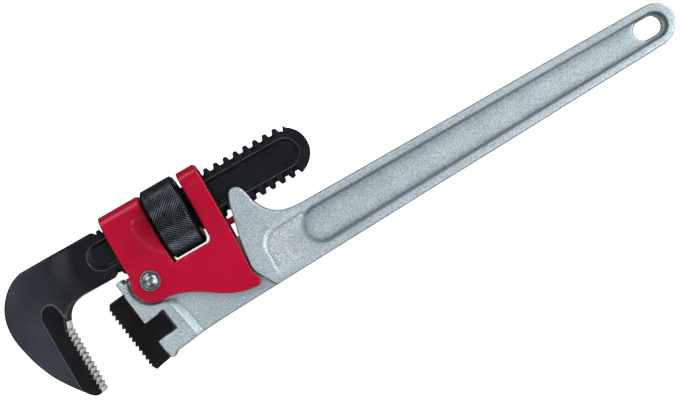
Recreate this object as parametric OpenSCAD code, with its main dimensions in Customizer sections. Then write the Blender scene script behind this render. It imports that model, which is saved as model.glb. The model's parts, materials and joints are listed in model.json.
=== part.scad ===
// Pipe wrench, lying flat on its side: +Z is up.
// +X runs along the shank from the hook jaw towards the handle's end, and +Y is the nut's side.
// The origin is at the centre of the part's underside. Sizes are in millimetres.

/* [Handle] */
// Distance from the frame pin to the handle's end
handle_reach = 267.9; // [255:0.1:290]
// Full thickness of the handle's head and horns
head_thick = 20; // [19:0.5:21]
// Full thickness of the handle at its far end
end_thick = 15; // [12:0.5:18]
// Thickness of the web between the handle's flanges
web_thick = 7; // [4:0.5:9]
// Thickness of the lug that stands between the frame's sides
lug_thick = 13; // [11:0.2:13.2]
// Width of the slot between the two horns
horn_gap = 13.4; // [13.2:0.1:14]
// Width of the hanging hole
hang_hole_width = 9.4; // [6:0.2:11]
// Length of the hanging hole
hang_hole_length = 13.8; // [12:0.2:15]

/* [Jaws] */
// Distance between teeth on both jaws
tooth_pitch = 2.5; // [2:0.1:3]
// Depth of the jaw teeth
tooth_depth = 1.3; // [0.8:0.1:1.6]
// Full width of both jaws
jaw_width = 20; // [16:0.5:20]
// Lean of the heel jaw away from the hook jaw, degrees
heel_lean = 7.5; // [6:0.5:9]
// Length of the heel jaw's tooth face
heel_length = 36.4; // [34:0.2:37]

/* [Shank and nut] */
// Thickness of the hook jaw's shank
shank_thick = 12; // [10:0.5:12.4]
// Distance between rack teeth, which is also the nut's lead
rack_pitch = 5.18; // [4.8:0.02:5.4]
// Radius over the tips of the rack teeth
rack_tip_r = 12.1; // [11.8:0.1:12.3]
// Outer radius of the adjusting nut
nut_r = 17.4; // [16.8:0.1:17.8]
// Length of the adjusting nut
nut_length = 17; // [14:0.5:17.5]

/* [Frame] */
// Thickness of the frame's sheet
sheet = 3; // [2:0.1:3.4]
// Clear width inside the frame
frame_gap = 13.8; // [13.6:0.1:14.2]
// Radius of the frame pin
pin_r = 2.6; // [2.2:0.1:3]
// Clearance of the frame pin in the handle, on the radius
pin_fit = 0.05; // [0.02:0.01:0.1]
// Outer radius of the pin washers
washer_r = 4.8; // [4:0.1:5.2]

/* [Springs] */
// Wire diameter of the coil spring
wire = 1.4; // [1:0.1:1.6]
// Radius of the coil spring to the middle of its wire
coil_r = 3.6; // [3:0.1:3.8]
// Number of turns in the coil spring
coil_turns = 6; // [4:1:6]
// Thickness of the flat spring
leaf = 0.9; // [0.6:0.1:1]

/* [Hidden] */
$fn = 72;

// The design frame below has the frame pin on its Z axis and the shank's middle plane at Z = 0.
axis_y = 20.3;
hook_back = -67.4;
low_y = -36.4;
shift = [-(hook_back + handle_reach) / 2, -(low_y + axis_y + nut_r) / 2, nut_r];

steel_black = [0.10, 0.11, 0.13];
steel_slate = [0.20, 0.22, 0.25];
silver_paint = [0.69, 0.74, 0.78];
red_paint = [0.72, 0.05, 0.19];
zinc = [0.75, 0.77, 0.80];
spring_steel = [0.45, 0.46, 0.48];

// ---- helpers ----

// A smooth open line through the given points, n pieces to each span.
function spline(a, b, c, d, t) =
    0.5 * (2 * b + (c - a) * t + (2 * a - 5 * b + 4 * c - d) * t * t + (3 * b - a - 3 * c + d) * t * t * t);
function smooth(p, n = 3) =
    let (last = len(p) - 1)
    concat([for (i = [0 : last - 1], s = [0 : n - 1])
        spline(p[max(i - 1, 0)], p[i], p[i + 1], p[min(i + 2, last)], s / n)], [p[last]]);

// Points on an arc, from one angle to another.
function arc(c, r, a0, a1, n = 8) = [for (i = [0 : n]) let (a = a0 + (a1 - a0) * i / n) c + r * [cos(a), sin(a)]];

// A plate in the design frame, the same distance above and below the middle plane.
module plate(thick) {
    translate([0, 0, -thick / 2]) linear_extrude(height = thick) children();
}

// The same cut into both faces, from half_thick outwards.
module both_faces(half_thick, depth = 20) {
    for (s = [-1, 1])
        translate([0, 0, s > 0 ? half_thick : -half_thick - depth])
            linear_extrude(height = depth) children();
}

// Moves from the design frame into the part's own frame.
module place() {
    translate(shift) children();
}

// The heel jaw leans, so it has its own frame: origin at the top of its back face.
module heel_frame() {
    translate([-14.1, 0.75, 0]) rotate([0, 0, heel_lean]) children();
}
function heel_point(u, v) = [-14.1, 0.75] + [u * cos(heel_lean) - v * sin(heel_lean),
                                            u * sin(heel_lean) + v * cos(heel_lean)];

// ---- handle ----

tenon_deep = 10.2;
tenon_top = -16.65;
tenon_bottom = -26.75;
lug_top = 4.6;
floor_y = -2.2;
spring_x = 51;
spring_seat_y = -11;
spring_top_y = 4;
slot_x = 41;
rivet_x = -8.6;
rivet_r = 1.3;
heel_pin_u = 5;
heel_pin_r = 2;
hole_inset = 13.2;

handle_under = [[-6, -33.9], [0, -33.25], [10, -32.1], [25, -31.25], [45, -30.6], [69, -29.75], [90, -29.1],
                [120, -28.1], [150, -27.2], [180, -26.3], [219, -24.9], [249, -24]];
handle_end = [[-9.7, -23.6], [-5.9, -22.3], [-2.9, -19.6], [-0.9, -16.4], [0, -13], [-0.8, -9.4],
              [-3.1, -6.4], [-6.7, -4.5], [-11, -4]];
horn_back = [[72, -3], [69, -2.3], [66, -1], [63, 1], [60.5, 4], [58.75, 7.3], [58, 10], [57.2, 14],
             [55.6, 16.9], [53.2, 18], [51.2, 17.4], [50, 15.8]];
horn_front = [[48.5, 12], [47.25, 7], [45.75, 1], [44.7, -2.2]];

module handle_outline() {
    polygon(concat(
        [heel_point(0.05, 5.3), heel_point(0.05, -35.6), heel_point(1.2, -36.7)],
        smooth(handle_under),
        smooth([for (p = handle_end) [p[0] + handle_reach, p[1]]]),
        [[150, -3.7], [90, -3.45], [77, -3.4]],
        smooth(horn_back),
        horn_front,
        [[13.5, floor_y], [11, lug_top], [-11.6, lug_top], [-12.25, 6.75], [-14, 6.7]]
    ));
}

module handle_side() {
    h = head_thick / 2;
    e = end_thick / 2;
    rotate([90, 0, 0]) translate([0, 0, -60])
        linear_extrude(height = 120)
            polygon([[-20, -h], [60, -h], [84, -h + 1.5], [handle_reach + 1, -e], [handle_reach + 1, e],
                     [84, h - 1.5], [60, h], [-20, h]]);
}

// The frame's sides sit in this pocket, one on each face.
module frame_pocket() {
    polygon(concat(
        [[44.9, -2.1], [44.9, 12], [-10.15, 12]],
        arc([0, 0], 11.2, 155, 272, 14),
        [[2.6, -13.5], [4.6, -23], [7.6, -40], [56, -40], [48, -28.75], [43.6, -21], [42.75, -18.6],
         [42.75, -16.5], [43.4, -10.5], [44.35, -5]]
    ));
}

// A slot between two circles, as one smooth polygon.
module taper_slot(c0, r0, c1, r1) {
    d = norm(c1 - c0);
    lean = atan2(c1[1] - c0[1], c1[0] - c0[0]);
    open = acos((r0 - r1) / d);
    polygon(concat(arc(c0, r0, lean + open, lean + 360 - open, 20), arc(c1, r1, lean - open, lean + open, 20)));
}

module hang_hole() {
    half = (hang_hole_length - hang_hole_width) / 2;
    translate([handle_reach - hole_inset, -13.5, -20]) {
        for (s = [-1, 1]) translate([s * half, 0, 0]) cylinder(r = hang_hole_width / 2, h = 40);
        translate([-half, -hang_hole_width / 2, 0]) cube([2 * half, hang_hole_width, 40]);
    }
}

module rivet_bore() {
    translate([rivet_x, lug_top - 6, 0]) rotate([-90, 0, 0]) cylinder(r = rivet_r, h = 20);
}

module heel_pin_bore() {
    heel_frame() translate([heel_pin_u, -40, 0]) rotate([-90, 0, 0]) cylinder(r = heel_pin_r, h = 30);
}

module handle() {
    color(silver_paint) place()
    difference() {
        intersection() {
            plate(head_thick) handle_outline();
            handle_side();
        }
        both_faces(lug_thick / 2) frame_pocket();
        both_faces(web_thick / 2) taper_slot([80.2, -16.3], 7.9, [handle_reach - 10.5, -13.9], 6.4);
        // shallow panels beside the horns
        both_faces(head_thick / 2 - 0.6)
            polygon(concat(smooth([[52, -25.5], [51.9, -19], [52.3, -13], [54, -9.6], [57.5, -8], [63, -8.2]]),
                           [[68.5, -8.6], [70.2, -15], [68.5, -25.5]]));
        // slot between the horns
        translate([slot_x, floor_y, -horn_gap / 2]) cube([40, 40, horn_gap]);
        // mortise for the heel jaw's tenon
        heel_frame() translate([-5, tenon_bottom - 0.05, -20])
            cube([5 + tenon_deep + 0.05, tenon_top - tenon_bottom + 0.1, 40]);
        // bore for the heel jaw's pin
        heel_pin_bore();
        // bore for the frame pin
        translate([0, 0, -20]) cylinder(r = pin_r + pin_fit, h = 40);
        // seat for the coil spring
        translate([spring_x, spring_seat_y, 0]) rotate([-90, 0, 0]) cylinder(r = coil_r + wire / 2 + 0.5, h = 20);
        // hole for the flat spring's rivet
        rivet_bore();
        hang_hole();
    }
}

// ---- heel jaw ----

face_u = -9.8;
heel_teeth = floor((heel_length - 6.2) / tooth_pitch);

module heel_jaw() {
    color(steel_black) place() difference() {
        heel_frame() {
            plate(jaw_width) polygon(concat(
                [[0, 0], [-7.4, 0.2], [face_u + 0.3, -2.6]],
                [for (i = [0 : heel_teeth - 1], q = [0, 1])
                    [face_u + (q == 0 ? tooth_depth : 0), -3 - (i + q * 0.72) * tooth_pitch]],
                [[face_u + tooth_depth, -3 - heel_teeth * tooth_pitch],
                 [face_u + 0.4, -heel_length + 3], [-8.2, -heel_length], [0, -heel_length + 0.6]]));
            plate(jaw_width) polygon([[-1, tenon_top], [tenon_deep, tenon_top], [tenon_deep, tenon_bottom],
                                      [-1, tenon_bottom]]);
        }
        heel_pin_bore();
    }
}

// A rolled spring pin: a tube with a narrow gap along one side.
module heel_jaw_pin() {
    wall = 0.7;
    gap = 0.7;
    length = 23;
    color(spring_steel) place() heel_frame()
        translate([heel_pin_u, -34.2, 0]) rotate([-90, 0, 0])
        difference() {
            cylinder(r = heel_pin_r - 0.02, h = length);
            translate([0, 0, -1]) cylinder(r = heel_pin_r - wall, h = length + 2);
            translate([-gap / 2, 0, -1]) cube([gap, 5, length + 2]);
        }
}

// ---- hook jaw ----

hook_tip_x = -43.4;
hook_teeth = 12;
tip_x = 66.95;
root_r = rack_tip_r - 2.2;
tail_x = 93.6;
rack_start = -14;
thread_lean = atan(rack_pitch / (2 * PI * (rack_tip_r - 1.1)));

hook_outer = [[-50, 32.75], [-54.5, 31.3], [-59, 28.4], [-62.5, 24.75], [-65, 20.8], [-66.7, 16.3],
              [-67.4, 11], [-67.2, 6], [-66.3, 1.2], [-64.9, -4.5], [-63.2, -9.6], [-60.6, -15.6],
              [-57.4, -21], [-54.2, -25.5], [-51.4, -29.2], [-49, -32], [-47, -33.3], [-44.9, -33.3],
              [-43.9, -32.2], [-44.1, -30.9]];
hook_throat = [[-43.6, -0.3], [-42.9, 2.2], [-41.7, 4.6], [-40, 6.7], [-37.8, 8.4], [-35.2, 9.4], [-32, 9.8]];

module hook_profile() {
    polygon(concat(
        [[-14, 32.75]],
        smooth(hook_outer),
        [for (i = [hook_teeth - 1 : -1 : 0], q = [0, 1])
            [hook_tip_x - (q == 0 ? tooth_depth : 0), -0.9 - (i + 1 - q * 0.72) * tooth_pitch]],
        [[hook_tip_x - tooth_depth, -0.9]],
        smooth(hook_throat),
        [[-15, 9.5], [-13, 10.5], [-11.5, axis_y - root_r], [-11.5, axis_y + root_r], [-12.5, 31]]
    ));
}

// The head is as thick as the jaw and tapers to the shank's thickness.
module hook_side() {
    s = shank_thick / 2;
    j = jaw_width / 2;
    rotate([90, 0, 0]) translate([0, 0, -60])
        linear_extrude(height = 120)
            polygon([[-80, -j], [-37, -j], [-26, -s], [120, -s], [120, s], [-26, s], [-37, j], [-80, j]]);
}

// A cylinder along the shank's axis.
module shank_round(r) {
    translate([rack_start, 0, 0]) rotate([0, 90, 0]) cylinder(r = r, h = tail_x + 20);
}

// One tooth of the rack, turned about the shank's axis and leaning with the nut's thread.
module rack_tooth() {
    spread = 84;
    foot = 1.75;
    crest = 0.8;
    rotate([0, thread_lean, 0])
        rotate([0, 90, 0]) rotate([0, 0, 90 - spread / 2]) rotate_extrude(angle = spread)
            polygon([[root_r - 0.6, -foot], [root_r - 0.1, -foot], [rack_tip_r + 0.2, -crest],
                     [rack_tip_r + 0.2, crest], [root_r - 0.1, foot], [root_r - 0.6, foot]]);
}

// The nut side's teeth are half a pitch away from the handle side's.
module rack() {
    translate([0, axis_y, 0])
    intersection() {
        union() {
            shank_round(root_r);
            for (k = [-15 : 4]) translate([tip_x + k * rack_pitch, 0, 0]) rack_tooth();
            for (k = [-15.5 : 3.5]) translate([tip_x + k * rack_pitch, 0, 0]) rotate([180, 0, 0]) rack_tooth();
        }
        shank_round(rack_tip_r);
        translate([rack_start, -30, -shank_thick / 2]) cube([tail_x + 20, 60, shank_thick]);
    }
}

// The rounded far end of the shank.
module tail_keep() {
    r = 11.3;
    c = [tail_x - r, axis_y - 0.2];
    plate(40) polygon(concat([[-100, -40], [c[0] + 1, -40], [c[0] + 4, c[1] - 14]],
                             arc(c, r, -64, 64, 16),
                             [[c[0] + 4, c[1] + 14], [c[0] + 1, 60], [-100, 60]]));
}

module hook_jaw() {
    color(steel_slate) place()
    difference() {
        union() {
            intersection() {
                plate(jaw_width) hook_profile();
                hook_side();
            }
            intersection() {
                rack();
                tail_keep();
            }
        }
        both_faces(shank_thick / 2 - 1.5)
            taper_slot([-14.6, axis_y + 0.6], 6.2, [tail_x - 11.9, axis_y - 0.4], 6.8);
    }
}

// ---- adjusting nut ----

nut_x = 14.2;
bore_r = rack_tip_r + 0.35;
crest_r = root_r + 0.35;
steps = 30;

// One right-hand thread ridge inside the nut, centred in the rack's gaps.
module nut_thread() {
    flank = tan(22);
    half0 = 0.52;
    half1 = half0 + (bore_r + 0.5 - crest_r) * flank;
    x0 = nut_x + half1 + 0.6;
    turns = (nut_length - 2 * half1 - 1.2) / rack_pitch;
    n = floor(turns * steps);
    first = 360 * ((x0 - tip_x) / rack_pitch - 0.5);
    ring = [[crest_r, -half0], [bore_r + 0.5, -half1], [bore_r + 0.5, half1], [crest_r, half0]];
    points = [for (i = [0 : n], q = ring)
        let (a = first + 360 * i / steps)
        [x0 + rack_pitch * i / steps + q[1], q[0] * cos(a), q[0] * sin(a)]];
    sides = [for (i = [0 : n - 1], q = [0 : 3])
        let (a = i * 4 + q, b = i * 4 + (q + 1) % 4)
        each [[a, b + 4, a + 4], [a, b, b + 4]]];
    caps = [[0, 2, 1], [0, 3, 2], [4 * n, 4 * n + 1, 4 * n + 2], [4 * n, 4 * n + 2, 4 * n + 3]];
    polyhedron(points = points, faces = concat(sides, caps), convexity = 8);
}

module adjusting_nut() {
    color(steel_black) place() translate([0, axis_y, 0])
    union() {
        translate([nut_x, 0, 0]) rotate([0, 90, 0])
        rotate_extrude()
            polygon([[bore_r, 0.6], [bore_r + 0.6, 0], [nut_r - 1, 0], [nut_r, 1], [nut_r, nut_length - 1],
                     [nut_r - 1, nut_length], [bore_r + 0.6, nut_length], [bore_r, nut_length - 0.6]]);
        nut_thread();
    }
}

// ---- frame ----

inner = frame_gap / 2;
outer = inner + sheet;
cheek_top = 31.2;
front_top = 36.7;
rear_top = 36.4;
bend_r = 4.8;
window_x0 = 13.15;
window_x1 = 33.2;
window_y = 2;

frame_lobe = [[-7.85, 10], [-7.75, 6.5], [-8.9, 2.6], [-9.45, -0.6], [-8.8, -4], [-7, -7], [-4, -9.3], [0, -10.4]];
frame_sweep = [[0, -10.4], [4.5, -10.7], [10, -12.25], [15, -14.5], [20, -17.6], [25, -21], [30, -23.7], [35, -25.5],
               [40, -26.35]];

module cheek() {
    difference() {
        polygon(concat(
            [[-7.6, cheek_top], [-7.9, 27], [-7.9, 14]],
            smooth(frame_lobe),
            smooth(frame_sweep),
            [[42, -26.45], [43.3, -25.7], [43.7, -24.3], [43.6, -22.4], [42.9, -20.8], [42.4, -19.6], [42.4, -17],
             [43, -8], [43.3, 12], [43.4, cheek_top]]));
        polygon([[window_x0, 60], [window_x0, window_y + 0.7], [window_x0 + 0.7, window_y],
                 [window_x1 - 2, window_y], [window_x1 - 0.6, window_y + 0.6], [window_x1, window_y + 2],
                 [window_x1, 60]]);
        circle(r = pin_r + 0.02);
    }
}

// Everything below the top edge, from one side to the other, with both top corners rounded.
module arch(half, top, r) {
    for (s = [-1, 1]) translate([s * (half - r), top - r]) circle(r = r);
    translate([-half, 0]) square([2 * half, top - r]);
    translate([-half + r, 0]) square([2 * (half - r), top]);
}

// The sheet's bend over the shank, seen along the shank.
module bend(top) {
    difference() {
        arch(outer, top, bend_r);
        arch(inner, top - sheet, bend_r - sheet);
        translate([-outer - 1, -1]) square([2 * outer + 2, cheek_top + 1]);
    }
}

// The bend drawn out along the shank from x0 to x1.
module bridge(x0, x1, top) {
    translate([x0, 0, 0]) rotate([0, 90, 0]) linear_extrude(height = x1 - x0) bend(top);
}

// The tongue that the coil spring lifts: wide between the frame's sides, narrow between the horns.
module tongue() {
    narrow = 11.8;
    thick = 3;
    translate([35.5, spring_top_y, -inner - 0.5]) cube([7, thick, frame_gap + 1]);
    translate([42, spring_top_y, -narrow / 2]) cube([13.5, thick, narrow]);
}

module frame() {
    color(red_paint) place() {
        for (s = [-1, 1]) translate([0, 0, s > 0 ? inner : -outer]) linear_extrude(height = sheet) cheek();
        bridge(-7.2, window_x0, front_top);
        bridge(33.6, 43.3, rear_top);
        tongue();
    }
}

module frame_pin() {
    cap_r = 3.4;
    cap_h = 1.4;
    ball_r = (cap_r * cap_r + cap_h * cap_h) / (2 * cap_h);
    color(zinc) place() {
        translate([0, 0, -outer - 1]) cylinder(r = pin_r, h = 2 * outer + 2);
        for (s = [0, 1]) mirror([0, 0, s])
            intersection() {
                translate([0, 0, outer + 1 + cap_h - ball_r]) sphere(r = ball_r);
                translate([0, 0, outer + 1]) cylinder(r = cap_r + 2, h = 5);
            }
    }
}

module pin_washers() {
    color(zinc) place()
    for (s = [0, 1]) mirror([0, 0, s]) translate([0, 0, outer])
        difference() {
            cylinder(r = washer_r, h = 1);
            translate([0, 0, -1]) cylinder(r = pin_r + 0.02, h = 3);
        }
}

// ---- springs ----

module coil_spring() {
    sides = 8;
    per_turn = 24;
    n = coil_turns * per_turn;
    length = spring_top_y - spring_seat_y - wire - 0.1;
    points = [for (i = [0 : n], q = [0 : sides - 1])
        let (a = 360 * i / per_turn, b = 360 * q / sides, r = coil_r + wire / 2 * cos(b))
        [spring_x + r * cos(a), spring_seat_y + 0.05 + wire / 2 + length * i / n + wire / 2 * sin(b), -r * sin(a)]];
    walls = [for (i = [0 : n - 1], q = [0 : sides - 1])
        let (a = i * sides + q, b = i * sides + (q + 1) % sides)
        each [[a, b + sides, a + sides], [a, b, b + sides]]];
    caps = [[for (q = [sides - 1 : -1 : 0]) q], [for (q = [0 : sides - 1]) n * sides + q]];
    color(spring_steel) place() polyhedron(points = points, faces = concat(walls, caps), convexity = 12);
}

// A bowed leaf with a flat foot, which lies on top of the lug.
module flat_spring() {
    bow = 2.3;
    half = 6.5;
    middle = 1;
    wide = 9;
    lift = 0.02;
    r = (half * half + bow * bow) / (2 * bow);
    color(spring_steel) place()
    difference() {
        translate([0, lug_top + lift, -wide / 2]) linear_extrude(height = wide) {
            intersection() {
                translate([middle, bow - r]) difference() {
                    circle(r = r + leaf);
                    circle(r = r);
                }
                translate([middle - half, 0]) square([2 * half, 10]);
            }
            translate([rivet_x - 2, 0]) square([5.6, leaf]);
        }
        rivet_bore();
    }
}

module flat_spring_rivet() {
    deep = 5.9;
    color(zinc) place() translate([rivet_x, lug_top - deep, 0]) rotate([-90, 0, 0]) {
        cylinder(r = rivet_r - 0.02, h = deep + leaf + 0.4);
        translate([0, 0, deep + leaf + 0.03]) cylinder(r = 2, h = 0.7);
    }
}

handle();
heel_jaw();
heel_jaw_pin();
hook_jaw();
adjusting_nut();
frame();
frame_pin();
pin_washers();
coil_spring();
flat_spring();
flat_spring_rivet();
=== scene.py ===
"""Pipe wrench: detailed meshes, finishes, light and camera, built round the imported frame.

Shapes are drawn in millimetres in the design frame: the frame pin is the Z axis, +X runs along the
shank towards the handle's end, +Y is the nut's side, and Z = 0 is the middle plane.
"""
import json
import math

import bpy
import numpy as np
from mathutils import Matrix, Vector, geometry, kdtree

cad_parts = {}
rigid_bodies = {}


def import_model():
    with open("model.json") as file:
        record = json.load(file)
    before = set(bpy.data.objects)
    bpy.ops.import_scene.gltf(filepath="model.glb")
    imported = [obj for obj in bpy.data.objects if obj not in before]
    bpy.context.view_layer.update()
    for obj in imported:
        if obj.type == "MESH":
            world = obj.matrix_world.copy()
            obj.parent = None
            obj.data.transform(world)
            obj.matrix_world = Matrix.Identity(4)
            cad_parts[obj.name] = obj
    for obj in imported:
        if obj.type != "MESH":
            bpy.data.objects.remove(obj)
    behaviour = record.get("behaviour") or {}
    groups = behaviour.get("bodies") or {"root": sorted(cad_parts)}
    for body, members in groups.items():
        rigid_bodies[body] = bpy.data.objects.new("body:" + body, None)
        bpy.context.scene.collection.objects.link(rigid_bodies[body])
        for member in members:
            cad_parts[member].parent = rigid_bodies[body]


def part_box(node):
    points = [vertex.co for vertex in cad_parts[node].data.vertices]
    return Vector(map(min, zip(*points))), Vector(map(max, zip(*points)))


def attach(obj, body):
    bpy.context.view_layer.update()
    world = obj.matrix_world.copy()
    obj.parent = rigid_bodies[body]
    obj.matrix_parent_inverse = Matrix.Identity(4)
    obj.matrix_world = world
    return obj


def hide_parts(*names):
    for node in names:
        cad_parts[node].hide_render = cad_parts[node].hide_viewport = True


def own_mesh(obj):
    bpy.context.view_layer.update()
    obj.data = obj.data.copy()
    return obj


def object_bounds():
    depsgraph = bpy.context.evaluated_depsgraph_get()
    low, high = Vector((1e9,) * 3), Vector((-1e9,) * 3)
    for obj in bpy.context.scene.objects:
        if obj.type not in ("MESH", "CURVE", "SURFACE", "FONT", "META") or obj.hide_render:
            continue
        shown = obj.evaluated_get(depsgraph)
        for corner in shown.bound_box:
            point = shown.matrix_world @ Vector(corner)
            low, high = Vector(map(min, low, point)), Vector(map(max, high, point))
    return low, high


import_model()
CAD_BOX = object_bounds()

MM = 0.001
PIN_LOW, PIN_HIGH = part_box("frame_pin")
ORIGIN = np.array((PIN_LOW + PIN_HIGH) / 2)


def design_box(node):
    """The lowest and highest corner of a CAD node, in the design frame."""
    return [(np.array(corner) - ORIGIN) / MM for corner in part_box(node)]


NUT_LOW, NUT_HIGH = design_box("adjusting_nut")
COIL_LOW, COIL_HIGH = design_box("coil_spring")
FRAME_HIGH = design_box("frame")[1]
HANDLE_HIGH = design_box("handle")[1]

HANDLE_END = HANDLE_HIGH[0]
HEAD_HALF = HANDLE_HIGH[2]
AXIS_Y = (NUT_LOW[1] + NUT_HIGH[1]) / 2
NUT_R = NUT_HIGH[2]
TAIL_X = design_box("hook_jaw")[1][0]
SPRING_X = (COIL_LOW[0] + COIL_HIGH[0]) / 2
PIN_TOP = (PIN_HIGH[2] - ORIGIN[2]) / MM

# the folded sheet: its thickness, and how far its outer face is from the middle plane
SHEET = 3.0
SHEET_OUT = FRAME_HIGH[2]

# the rack and its thread: TOOTH_X is the middle of one upper tooth, LEAN is the helix's slope
RACK_PITCH = 5.18
RACK_TIP_R = 12.1
RACK_ROOT_R = 9.9
TOOTH_X = 66.95
LEAN = RACK_PITCH / (2 * math.pi * (RACK_TIP_R + RACK_ROOT_R) / 2)

# half the shank's thickness, and where the rack begins on it
SHANK_HALF = 6.0
RACK_X = -11.6

# the jaw teeth, from tip to tip and from tip to root
TOOTH_PITCH = 2.5
TOOTH_DEPTH = 1.3


# ---- flat shapes ----


def smooth(points, n=4):
    """A smooth open line through the points, n pieces to each span."""
    p = np.asarray(points, float)
    p = np.vstack([p[0], p, p[-1]])
    line = []
    for i in range(1, len(p) - 2):
        a, b, c, d = p[i - 1 : i + 3]
        for t in np.arange(n) / n:
            line.append(0.5 * (2 * b + (c - a) * t + (2 * a - 5 * b + 4 * c - d) * t**2
                               + (3 * b - a - 3 * c + d) * t**3))
    line.append(p[-2])
    return np.array(line)


def arc(centre, r, start, end, n=16):
    """Points on an arc, in degrees."""
    turn = np.radians(np.linspace(start, end, n + 1))
    return np.asarray(centre) + r * np.stack([np.cos(turn), np.sin(turn)], 1)


def taper_slot(c0, r0, c1, r1):
    """A closed line round two circles."""
    c0, c1 = np.asarray(c0, float), np.asarray(c1, float)
    along = c1 - c0
    lean = math.degrees(math.atan2(along[1], along[0]))
    spread = math.degrees(math.acos((r0 - r1) / np.hypot(*along)))
    return np.vstack([
        arc(c0, r0, lean + spread, lean + 360 - spread, 24),
        arc(c1, r1, lean - spread, lean + spread, 24),
    ])


def resample(line, step, closed=True):
    """The same line with no piece longer than step."""
    line = np.asarray(line, float)
    ends = np.roll(line, -1, axis=0) if closed else line[1:]
    out = []
    for a, b in zip(line, ends):
        n = max(1, math.ceil(np.hypot(*(b - a)) / step))
        out.extend(a + (b - a) * k / n for k in range(n))
    if not closed:
        out.append(line[-1])
    return np.array(out)


def nearest(points, line):
    """Distance from each point to the closed line, and the nearest spot on it."""
    line = np.asarray(line, float)
    best = np.full(len(points), np.inf)
    spot = np.zeros_like(points)
    for a, b in zip(line, np.roll(line, -1, axis=0)):
        along = b - a
        size = along @ along
        if size < 1e-12:
            continue
        t = np.clip((points - a) @ along / size, 0, 1)
        on = a + t[:, None] * along
        d = ((points - on) ** 2).sum(1)
        closer = d < best
        best[closer] = d[closer]
        spot[closer] = on[closer]
    return np.sqrt(best), spot


def inside(points, loop):
    """Whether each point is inside the closed loop."""
    loop = np.asarray(loop, float)
    odd = np.zeros(len(points), bool)
    x, y = points[:, 0], points[:, 1]
    for (ax, ay), (bx, by) in zip(loop, np.roll(loop, -1, axis=0)):
        if ay == by:
            continue
        across = (ay > y) != (by > y)
        odd ^= across & (x < ax + (y - ay) * (bx - ax) / (by - ay))
    return odd


def shrink(loop, by):
    """The loop moved inwards by the given distances. The loop runs anticlockwise."""
    before = loop - np.roll(loop, 1, axis=0)
    after = np.roll(loop, -1, axis=0) - loop
    before /= np.maximum(np.hypot(*before.T), 1e-9)[:, None]
    after /= np.maximum(np.hypot(*after.T), 1e-9)[:, None]
    n0 = np.stack([-before[:, 1], before[:, 0]], 1)
    n1 = np.stack([-after[:, 1], after[:, 0]], 1)
    middle = n0 + n1
    reach = np.maximum((middle * n1).sum(1), 0.7)
    return loop + middle / reach[:, None] * np.asarray(by).reshape(-1, 1)


def anticlockwise(loop):
    """The loop, turned round if it runs clockwise."""
    loop = np.asarray(loop, float)
    x, y = loop.T
    area = (x * np.roll(y, -1) - y * np.roll(x, -1)).sum()
    return loop if area > 0 else loop[::-1]


# ---- reliefs: a plate whose faces carry steps, recesses and rounded edges ----

# where edge lines run: over a rounded edge, down a recess's wall, and beside the wall's rim and foot
FILLET_STEPS = np.radians([22, 45, 66, 90])
WALL_STEPS = (0, 0.07, 0.15, 0.4, 0.7, 0.85, 0.94)
BESIDE = 0.45

# how far a steep wall has fallen at each share of its width
STEEP_AT = (0, 0.07, 0.15, 0.7, 0.85, 0.94, 1)
STEEP_FALL = (0, 0.1, 0.24, 0.56, 0.84, 0.97, 1)


def rounding(d, r):
    """How far a rounded edge of radius r lies below the flat face, at distance d from the outline."""
    r = np.maximum(r, 1e-6)
    return np.where(d < r, r - np.sqrt(np.maximum(r**2 - (r - d) ** 2, 0)), 0)


def step_down(points, z, rim, floor, level, steep=False, crease=0.35):
    """z, changing to level between the rim and the floor's edge. crease keeps the wall's ends from easing."""
    d0, d1 = nearest(points, rim)[0], nearest(points, floor)[0]
    t = np.where(inside(points, rim), d0 / (d0 + d1 + 1e-9), 0)
    t = np.where(inside(points, floor), 1, t)
    eased = np.interp(t, STEEP_AT, STEEP_FALL) if steep else (1 - crease) * t * t * (3 - 2 * t) + crease * t
    return z + (level - z) * eased


def wall_lines(rim, floor, step=1.2):
    """Closed lines between a recess's rim and its floor, and one close beside each of the two."""
    rim, floor = resample(anticlockwise(rim), step), resample(anticlockwise(floor), step)
    foot = nearest(rim, floor)[1]
    lines = [rim + (foot - rim) * t for t in WALL_STEPS]
    lines += [shrink(rim, np.full(len(rim), -BESIDE)), floor, shrink(floor, np.full(len(floor), BESIDE))]
    return [(line, True) for line in lines]


def fill(outline, holes, lines, step):
    """Flat triangles that fill the outline, with edges along every line."""
    points, edges = [], []
    for line, closed in [(outline, True)] + [(h, True) for h in holes] + lines:
        first, n = len(points), len(line)
        points.extend(line)
        edges.extend((first + i, first + (i + 1) % n) for i in range(n if closed else n - 1))
    tree = kdtree.KDTree(len(points))
    for i, p in enumerate(points):
        tree.insert((p[0], p[1], 0), i)
    tree.balance()
    low, high = outline.min(0), outline.max(0)
    xs, ys = np.meshgrid(np.arange(low[0], high[0], step), np.arange(low[1], high[1], step * 0.87))
    xs[1::2] += step / 2
    grid = np.stack([xs.ravel(), ys.ravel()], 1)
    grid = grid[inside(grid, outline)]
    points.extend(p for p in grid if tree.find((p[0], p[1], 0))[2] > 0.55 * step)
    found = geometry.delaunay_2d_cdt([Vector(p) for p in points], edges, [], 0, 1e-4)
    flat = np.array([tuple(v) for v in found[0]])
    tris = np.array([tuple(f) for f in found[2]])
    middle = flat[tris].mean(1)
    keep = inside(middle, outline)
    for hole in holes:
        keep &= ~inside(middle, hole)
    tris = tris[keep]
    a, b, c = flat[tris[:, 0]], flat[tris[:, 1]], flat[tris[:, 2]]
    turn = (b - a)[:, 0] * (c - a)[:, 1] - (b - a)[:, 1] * (c - a)[:, 0]
    tris[turn < 0] = tris[turn < 0][:, ::-1]
    used = np.unique(tris)
    renumber = np.full(len(flat), -1)
    renumber[used] = np.arange(len(used))
    return flat[used], renumber[tris]


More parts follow.
